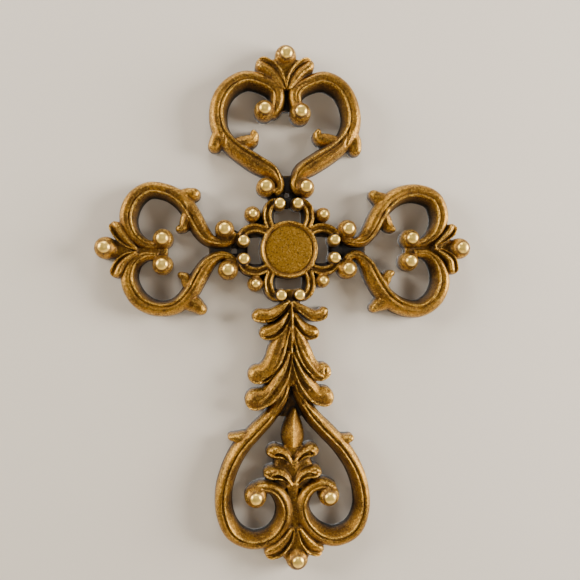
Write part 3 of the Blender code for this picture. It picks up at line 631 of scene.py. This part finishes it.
def chased(mesh):
    """Works the chased lines into the front of the casting."""
    spots = places(mesh)
    facing = ramp(-normals(mesh)[:, 1], *CHASE_FACING)
    x, z = spots[:, 0] / MM + NOTCH[0], spots[:, 2] / MM + NOTCH[1]
    rises, drops = np.zeros(len(spots)), np.zeros(len(spots))
    for kind, lines in CHASED.items():
        rise, breadth, drop = CHASING[kind]
        reach = max(CHASE_REACH * breadth, DROP_FAR)
        for line in lines:
            points = smooth(line, CHASE_STEPS)
            low, high = np.min(points, 0) - reach, np.max(points, 0) + reach
            near = np.nonzero((x > low[0]) & (x < high[0]) & (z > low[1]) & (z < high[1]))[0]
            off, along = from_line(points, x[near], z[near])
            fade = ramp(along, 0, CHASE_FADE) * (1 - ramp(along, 1 - CHASE_FADE, 1))
            rises[near] += rise * np.exp(-(off / breadth) ** 2) * fade
            fall = drop * ramp(off, 0, DROP_NEAR) * (1 - ramp(off, DROP_NEAR, DROP_FAR)) * fade
            drops[near] = np.maximum(drops[near], fall)
    spots[:, 1] -= (rises - drops) * facing * MM
    set_places(mesh, spots)


def roughened(mesh):
    """Sandy grain and a slight unevenness, in and out along the surface."""
    spots = places(mesh)
    ways = normals(mesh)
    fine, broad = 1 / (GRAIN_SIZE * MM), 1 / (WOBBLE_SIZE * MM)
    moves = np.array([
        GRAIN * noise.noise(Vector(p) * fine) + WOBBLE * noise.noise(Vector(p) * broad)
        for p in spots.tolist()
    ])
    set_places(mesh, spots + ways * moves[:, None] * MM)


def cut_flat(mesh):
    """Cuts the back flat at y = 0 and closes it."""
    work = bmesh.new()
    work.from_mesh(mesh)
    geometry = work.verts[:] + work.edges[:] + work.faces[:]
    inward = (0, 1, 0)
    cut = bmesh.ops.bisect_plane(work, geom=geometry, plane_co=(0, 0, 0), plane_no=inward, clear_outer=True)
    rim = [part for part in cut["geom_cut"] if isinstance(part, bmesh.types.BMEdge)]
    bmesh.ops.triangle_fill(work, use_beauty=True, use_dissolve=False, edges=rim, normal=inward)
    bmesh.ops.triangulate(work, faces=work.faces[:])
    bmesh.ops.recalc_face_normals(work, faces=work.faces[:])
    work.to_mesh(mesh)
    work.free()


mesh, studs = gathered_forms()
mesh = with_modifier(mesh, "REMESH", mode="VOXEL", voxel_size=VOXEL * MM)
softened(mesh)
chased(mesh)
roughened(mesh)
dense_spots = places(mesh)
kept_share = TRIANGLES / (2 * len(mesh.polygons))
mesh = with_modifier(mesh, "DECIMATE", ratio=kept_share, use_collapse_triangulate=True)
cut_flat(mesh)
set_places(mesh, np.clip(places(mesh), *np.array([list(corner) for corner in bounds])))


class Relief:
    """Maps of the casting's height over its front, in millimetres, plain and blurred."""

    def __init__(self, spots):
        x, height, z = spots[:, 0] / MM, -spots[:, 1] / MM, spots[:, 2] / MM
        self.low = np.array([x.min() - MAP_MARGIN, z.min() - MAP_MARGIN])
        size = np.ceil((np.array([x.max(), z.max()]) + MAP_MARGIN - self.low) / MAP_CELL).astype(int)
        column, row = self.cell(x, z)
        self.height = np.zeros(size)
        np.maximum.at(self.height, (column, row), height)

    def cell(self, x, z):
        return (
            ((x - self.low[0]) / MAP_CELL).astype(int),
            ((z - self.low[1]) / MAP_CELL).astype(int),
        )

    def blurred(self, spread):
        """The height after a Gaussian blur."""
        waves = [np.fft.fftfreq(count, MAP_CELL) for count in self.height.shape]
        fall = np.exp(-2 * (math.pi * spread) ** 2 * (waves[0][:, None] ** 2 + waves[1][None, :] ** 2))
        return np.fft.ifft2(np.fft.fft2(self.height) * fall).real

    def read(self, values, x, z):
        """Values at places between the cells, read from the four cells round each."""
        u, v = (x - self.low[0]) / MAP_CELL - 0.5, (z - self.low[1]) / MAP_CELL - 0.5
        i, j = np.floor(u).astype(int), np.floor(v).astype(int)
        s, t = u - i, v - j
        return (
            values[i, j] * (1 - s) * (1 - t) + values[i + 1, j] * s * (1 - t)
            + values[i, j + 1] * (1 - s) * t + values[i + 1, j + 1] * s * t
        )


def add_mask(mesh, name, values):
    layer = mesh.attributes.new(name, "FLOAT", "POINT")
    layer.data.foreach_set("value", values.astype(np.float32))


def add_masks(mesh, studs, relief):
    """Where the dark wash and painted shade lie, where the gold is rubbed bright and highlights painted, the
    gilt studs with painted shade rings round them, and the medallion's disc.
    """
    spots = places(mesh)
    x, height, z = spots[:, 0] / MM, -spots[:, 1] / MM, spots[:, 2] / MM
    near = relief.read(relief.blurred(NEAR_BLUR), x, z) - height
    far = relief.read(relief.blurred(FAR_BLUR), x, z) - height
    near_from, near_full, near_share = WASH_AND_SHADE_NEAR
    far_from, far_full, far_share = WASH_AND_SHADE_FAR
    low_full, low_gone, low_share = WASH_AND_SHADE_LOW
    # The dark wash is partly the near-black ground and partly painted shade in recesses, low down and on deep
    # webs.
    sunk = near_share * ramp(near, near_from, near_full) + far_share * ramp(far, far_from, far_full)
    sunk += low_share * (1 - ramp(height, low_full, low_gone))
    webbed = ramp(-normals(mesh)[:, 1], *WEB_FACING) * (1 - ramp(height, *WEB_LOW))
    add_mask(mesh, "wash_and_shade_mask", np.clip(sunk + WEB_WASH_AND_SHADE * webbed, 0, 1))
    # Crests get rubbed gold that is partly a painted highlight.
    add_mask(mesh, "crest", ramp(-near, *CREST_RISE))
    x_row, z_row = x + NOTCH[0], z + NOTCH[1]
    gilt = np.zeros(len(spots))
    ring = np.zeros(len(spots))
    # Each stud gets a painted shade ring round its foot.
    for stud_x, stud_z, radius in studs:
        past = np.hypot(x_row - stud_x, z_row - stud_z) - radius
        gilt = np.maximum(gilt, 1 - ramp(past, *GILT_EDGE))
        ring = np.maximum(ring, ramp(past, *SHADE_RING_START) * (1 - ramp(past, *SHADE_RING_END)))
    add_mask(mesh, "stud", gilt)
    add_mask(mesh, "stud_shade_ring", ring)
    add_mask(mesh, "disc", 1 - ramp(np.hypot(x_row, z_row), *DISC_EDGE))


add_masks(mesh, studs, Relief(dense_spots))


def node(tree, kind, place, **values):
    made = tree.nodes.new(kind)
    made.location = place
    for name, value in values.items():
        setattr(made, name, value)
    return made


def new_group(name, inputs, outputs):
    """Node group with named inputs, each with a starting value, and named outputs."""
    group = bpy.data.node_groups.new(name, "ShaderNodeTree")
    for label, kind, value in inputs:
        group.interface.new_socket(label, in_out="INPUT", socket_type=kind).default_value = value
    for label, kind in outputs:
        group.interface.new_socket(label, in_out="OUTPUT", socket_type=kind)
    return group, node(group, "NodeGroupInput", (-900, 0)), node(group, "NodeGroupOutput", (900, 0))


def feed(tree, slot, value):
    """Links an output to a socket, or sets the socket to a plain value."""
    if isinstance(value, bpy.types.NodeSocket):
        tree.links.new(value, slot)
    else:
        slot.default_value = value


def feed_all(tree, made, values):
    """Feeds a node's sockets, which are given by name."""
    for name, value in values.items():
        feed(tree, made.inputs[name], value)


def mathed(tree, operation, first, second, place, clamp=False):
    made = node(tree, "ShaderNodeMath", place, operation=operation, use_clamp=clamp)
    feed(tree, made.inputs[0], first)
    feed(tree, made.inputs[1], second)
    return made.outputs[0]


def spread(tree, value, low, high, place):
    """The value eased from 0 at the low end to 1 at the high end."""
    made = node(tree, "ShaderNodeMapRange", place, interpolation_type="SMOOTHSTEP")
    feed_all(tree, made, {"Value": value, "From Min": low, "From Max": high})
    return made.outputs["Result"]


def blended(tree, share, first, second, place):
    made = node(tree, "ShaderNodeMix", place, data_type="RGBA")
    feed_all(tree, made, {"Factor": share, "A": first, "B": second})
    return made.outputs["Result"]


def mask(tree, name, place):
    return node(tree, "ShaderNodeAttribute", place, attribute_name=name).outputs["Fac"]


def bumped(tree, surface, height, strength, depth, place):
    """Gives a surface a fine relief, its depth in millimetres."""
    bump = node(tree, "ShaderNodeBump", place)
    feed_all(tree, bump, {"Strength": strength, "Distance": depth * MM, "Height": height})
    tree.links.new(bump.outputs["Normal"], surface.inputs["Normal"])


# Layers of the casting's grain: lumps in a metre, detail and roughness.
FINE_GRAIN = (2100.0, 2.0, 0.6)
SANDY_GRAIN = (1000.0, 2.5, 0.6)
BROAD_BLOTCHES = (130.0, 5.0, 0.7)
SAND_PITS = (950.0, 3.0, 0.65)
FINE_SHARE = 0.45           # share of the fine grain that is added to the sandy grain
PIT_RANGE = (0.49, 0.66)
BLOTCH_RANGE = (0.36, 0.64)


def casting_grain():
    """Sandy grain of a mould: a height for bumps, fine dark pits and broad blotches."""
    group, source, result = new_group(
        "casting_grain",
        [("Grain Size", "NodeSocketFloat", 1.0)],
        [("Height", "NodeSocketFloat"), ("Pits", "NodeSocketFloat"), ("Blotches", "NodeSocketFloat")],
    )
    where = node(group, "ShaderNodeTexCoord", (-900, -300)).outputs["Object"]
    size = source.outputs["Grain Size"]

    def cloud(layer, place):
        per_metre, detail, roughness = layer
        scale = mathed(group, "DIVIDE", per_metre, size, (place[0] - 200, place[1]))
        made = node(group, "ShaderNodeTexNoise", place)
        feed_all(group, made, {"Scale": scale, "Detail": detail, "Roughness": roughness, "Vector": where})
        return made.outputs["Fac"]

    fine = mathed(group, "MULTIPLY", cloud(FINE_GRAIN, (-500, 200)), FINE_SHARE, (-200, 200))
    height = mathed(group, "ADD", fine, cloud(SANDY_GRAIN, (-500, -50)), (0, 100))
    pits = spread(group, cloud(SAND_PITS, (-500, -550)), *PIT_RANGE, (-200, -550))
    blotches = spread(group, cloud(BROAD_BLOTCHES, (-500, -300)), *BLOTCH_RANGE, (-200, -300))
    feed_all(group, result, {"Height": height, "Pits": pits, "Blotches": blotches})
    return group


def grained(tree, group, size, place):
    made = node(tree, "ShaderNodeGroup", place, node_tree=group)
    made.inputs["Grain Size"].default_value = size
    return made


def new_material(name):
    material = bpy.data.materials.new(name)
    material.use_nodes = True
    return material, material.node_tree, material.node_tree.nodes["Principled BSDF"]


# The brightest gold is partly rubbed gold and partly painted highlight and painted glints.
RUBBED_GOLD_AND_HIGHLIGHT = (0.70, 0.42, 0.075, 1)
GOLD = (0.35, 0.168, 0.019, 1)
BROWN_GOLD = (0.15, 0.067, 0.010, 1)
PIT_BROWN = (0.045, 0.021, 0.007, 1)
# The near-black of the wash is partly the dark ground and partly painted shade.
DARK_WASH_AND_SHADE = (0.010, 0.007, 0.005, 1)
STUD_GILT = (0.93, 0.63, 0.14, 1)
DISC_OCHRE = (0.46, 0.23, 0.018, 1)
BACK_BROWN = (0.085, 0.058, 0.036, 1)
BACK_DARK = (0.051, 0.0348, 0.0216, 1)

# The gold finish and its painted highlights, glints and shade: shares of its layers, and what the dark wash,
# partly painted shade, and the studs' gilding change.
DISC_SHARE = 0.75
RUBBED_AND_HIGHLIT_RANGE = (0.64, 0.84)     # heights of the grain that are rubbed bright, with a painted highlight, on a crest
GLINT_RANGE = (0.77, 0.91)      # heights of the grain that get painted glints anywhere
GLINT_SHARE = 0.5
PIT_SHARE = 0.75
# Share of the painted shade ring round each stud.
SHADE_RING_SHARE = 0.6
GOLD_METAL = 0.85
WASH_AND_SHADE_METAL = 0.6                # the wash and painted shade take this off the metal
GILT_METAL = 0.15               # and the gilding this
GOLD_ROUGHNESS = 0.40
WASH_AND_SHADE_ROUGHNESS = 0.25           # the wash and painted shade add this roughness
GILT_POLISH = 0.08              # and the gilding takes this off
GOLD_BUMP = (0.7, 0.4)          # strength, and depth in millimetres
GILT_QUIET = 0.93               # share of the bump that a stud loses

BACK_GRAIN = 1.6
BACK_METAL = 0.3
BACK_ROUGHNESS = 0.7
BACK_BUMP = (0.5, 0.3)


def antique_gold(grain):
    """Gold rubbed over a near-black ground: bright on the crests, partly as a painted highlight, dark in the
    recesses, partly as painted shade, and dark in the pits; with painted glints on the grain and painted
    shade round the studs.
    """
    material, tree, surface = new_material("antique_gold")

    def times(first, second, place):
        return mathed(tree, "MULTIPLY", first, second, place)

    sand = grained(tree, grain, 1.0, (-1300, -200))
    height, pits, blotches = (sand.outputs[name] for name in ("Height", "Pits", "Blotches"))
    disc, wash_and_shade_mask, crest, stud, stud_shade_ring = (
        mask(tree, name, (-1300, row))
        for name, row in (("disc", 450), ("wash_and_shade_mask", 300), ("crest", 150), ("stud", 0), ("stud_shade_ring", -350))
    )
    gold = blended(tree, blotches, BROWN_GOLD, GOLD, (-900, 200))
    gold = blended(tree, times(disc, DISC_SHARE, (-1100, 450)), gold, DISC_OCHRE, (-700, 200))
    # Crests are rubbed bright, partly as a painted highlight.
    rubbed_and_highlit = times(crest, spread(tree, height, *RUBBED_AND_HIGHLIT_RANGE, (-1000, 500)), (-800, 500))
    gold = blended(tree, rubbed_and_highlit, gold, RUBBED_GOLD_AND_HIGHLIGHT, (-500, 200))
    # Painted glints on the tops of the grain.
    painted_glints = times(spread(tree, height, *GLINT_RANGE, (-700, 500)), GLINT_SHARE, (-500, 500))
    gold = blended(tree, painted_glints, gold, RUBBED_GOLD_AND_HIGHLIGHT, (-300, 200))
    gold = blended(tree, times(pits, PIT_SHARE, (-700, -50)), gold, PIT_BROWN, (-200, 350))
    # The dark wash, partly painted shade, with the painted shade ring round each stud added.
    wash_and_shade = mathed(tree, "ADD", wash_and_shade_mask, times(stud_shade_ring, SHADE_RING_SHARE, (-500, -250)), (-300, -50), clamp=True)
    colour = blended(tree, wash_and_shade, gold, DARK_WASH_AND_SHADE, (-100, 200))
    colour = blended(tree, stud, colour, STUD_GILT, (100, 200))
    tree.links.new(colour, surface.inputs["Base Color"])

    metal = mathed(tree, "SUBTRACT", GOLD_METAL, times(wash_and_shade, WASH_AND_SHADE_METAL, (-100, -50)), (100, -50), clamp=True)
    metal = mathed(tree, "SUBTRACT", metal, times(stud, GILT_METAL, (100, -150)), (300, -50), clamp=True)
    tree.links.new(metal, surface.inputs["Metallic"])

    rough = mathed(tree, "ADD", GOLD_ROUGHNESS, times(wash_and_shade, WASH_AND_SHADE_ROUGHNESS, (-100, -250)), (100, -250))
    rough = mathed(tree, "SUBTRACT", rough, times(stud, GILT_POLISH, (100, -400)), (300, -250))
    tree.links.new(rough, surface.inputs["Roughness"])

    kept = mathed(tree, "SUBTRACT", 1.0, times(stud, GILT_QUIET, (-500, -550)), (-300, -550))
    bumped(tree, surface, times(height, kept, (-100, -550)), *GOLD_BUMP, (100, -550))
    return material


def bare_back(grain):
    """The dark, matt, unpainted cast back."""
    material, tree, surface = new_material("bare_back")
    sand = grained(tree, grain, BACK_GRAIN, (-700, 0))
    colour = blended(tree, sand.outputs["Blotches"], BACK_BROWN, BACK_DARK, (-400, 0))
    tree.links.new(colour, surface.inputs["Base Color"])
    surface.inputs["Metallic"].default_value = BACK_METAL
    surface.inputs["Roughness"].default_value = BACK_ROUGHNESS
    bumped(tree, surface, sand.outputs["Height"], *BACK_BUMP, (-200, -300))
    return material


BACK_FACING = 0.99          # a face of the back faces the wall at least this much
BACK_DEPTH = 0.01           # and lies no further than this in front of it, in millimetres


def dress(mesh):
    grain = casting_grain()
    mesh.materials.append(antique_gold(grain))
    mesh.materials.append(bare_back(grain))
    facing, depth = rows(mesh.polygons, "normal")[:, 1], rows(mesh.polygons, "center")[:, 1]
    on_back = (facing > BACK_FACING) & (depth > -BACK_DEPTH * MM)
    mesh.polygons.foreach_set("material_index", on_back.astype(np.int32))
    mesh.polygons.foreach_set("use_smooth", ~on_back)
    mesh.update()


cross = put_in_scene("gold_wall_cross", mesh)
dress(mesh)
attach(cross, "root")
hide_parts("wall_cross")

# The plain studio: a pale backdrop close behind the back, which is clear from behind, and a pale floor below.
BACKDROP_GAP = 0.4          # millimetres behind the flat back
STUDIO_HALF = 1.6           # metres
FLOOR_DROP = 1.2            # metres from the notch down to the floor
PALE = (0.79, 0.72, 0.625, 1)
PALE_ROUGHNESS = 0.85


def pale_material(name, clear_from_behind):
    """Pale and matt. Where it is clear from behind, lamps shine through it too, to light the bare back."""
    material, tree, surface = new_material(name)
    surface.inputs["Base Color"].default_value = PALE
    surface.inputs["Roughness"].default_value = PALE_ROUGHNESS
    if clear_from_behind:
        clear = node(tree, "ShaderNodeBsdfTransparent", (0, -300))
        choice = node(tree, "ShaderNodeMixShader", (300, 0))
        side = node(tree, "ShaderNodeNewGeometry", (0, 300)).outputs["Backfacing"]
        shadow = node(tree, "ShaderNodeLightPath", (0, 500)).outputs["Is Shadow Ray"]
        either = mathed(tree, "MAXIMUM", side, shadow, (150, 300))
        for slot, output in zip(choice.inputs, (either, surface.outputs[0], clear.outputs[0])):
            tree.links.new(output, slot)
        tree.links.new(choice.outputs[0], tree.nodes["Material Output"].inputs["Surface"])
    return material


def add_sheet(name, corners, clear_from_behind):
    mesh = bpy.data.meshes.new(name)
    mesh.from_pydata(corners, [], [range(4)])
    mesh.materials.append(pale_material("pale_" + name, clear_from_behind))
    put_in_scene(name, mesh)


def build_studio():
    half, gap, floor = STUDIO_HALF, BACKDROP_GAP * MM, -FLOOR_DROP
    wall = [(-half, gap, floor), (half, gap, floor), (half, gap, half), (-half, gap, half)]
    ground = [(-half, -half, floor), (half, -half, floor), (half, half, floor), (-half, half, floor)]
    add_sheet("backdrop", wall, True)
    add_sheet("floor", ground, False)


# Lamps: place and breadth in metres, watts and colour. A low key from the right and a low fill from the left
# rake over the relief, and one hangs above. A weak one in front meets the studs, and one behind lights the
# bare back.
LAMPS = {
    "key": ((1.2, -0.38, 0.0), 0.75, 43.0, (1.0, 0.96, 0.895)),
    "fill": ((-1.15, -0.36, 0.3), 0.75, 24.0, (1.0, 0.94, 0.85)),
    "above": ((-0.1, -0.38, 1.15), 0.75, 14.0, (1.0, 0.97, 0.92)),
    "front": ((-0.05, -1.3, 0.15), 0.6, 1.1, (1.0, 0.97, 0.92)),
    "behind": ((0.0, 1.3, 0.1), 0.8, 16.0, (1.0, 0.97, 0.92)),
}
LAMP_AIM = (0, 0, -0.11)
ROOM_COLOUR = (0.93, 0.95, 1.0, 1)
ROOM_STRENGTH = 0.035


def add_lamp(name, place, breadth, power, colour):
    lamp = bpy.data.lights.new(name, "AREA")
    lamp.shape = "DISK"
    lamp.size = breadth
    lamp.energy = power
    lamp.color = colour
    made = put_in_scene(name, lamp)
    made.location = place
    made.rotation_euler = (Vector(LAMP_AIM) - Vector(place)).to_track_quat("-Z", "Y").to_euler()


def light_studio():
    for name, values in LAMPS.items():
        add_lamp(name, *values)
    world = bpy.data.worlds.new("studio")
    world.use_nodes = True
    background = world.node_tree.nodes["Background"]
    background.inputs["Color"].default_value = ROOM_COLOUR
    background.inputs["Strength"].default_value = ROOM_STRENGTH
    bpy.context.scene.world = world


# Camera: at arm's length, a little to the left of the cross and level with the husk. Places are in
# millimetres, angles in degrees.
CAMERA_PLACE = (-37.81, -347.0, -105.13)
CAMERA_AIM = (0.8, 0.0, -99.7)
CAMERA_ROLL = -1.1
FIELD_OF_VIEW = 50.0
SENSOR_WIDTH = 36.0


def place_camera():
    lens = bpy.data.cameras.new("camera")
    lens.sensor_fit = "HORIZONTAL"
    lens.sensor_width = SENSOR_WIDTH
    lens.angle = math.radians(FIELD_OF_VIEW)
    camera = put_in_scene("camera", lens)
    place, aim = Vector(CAMERA_PLACE) * MM, Vector(CAMERA_AIM) * MM
    ahead = (aim - place).normalized()
    level = ahead.cross(Vector((0, 0, 1))).normalized()
    roll = math.radians(CAMERA_ROLL)
    right = level * math.cos(roll) + level.cross(ahead) * math.sin(roll)
    up = right.cross(ahead)
    camera.matrix_world = Matrix.Translation(place) @ Matrix((right, up, -ahead)).transposed().to_4x4()
    bpy.context.scene.camera = camera


build_studio()
light_studio()
place_camera()
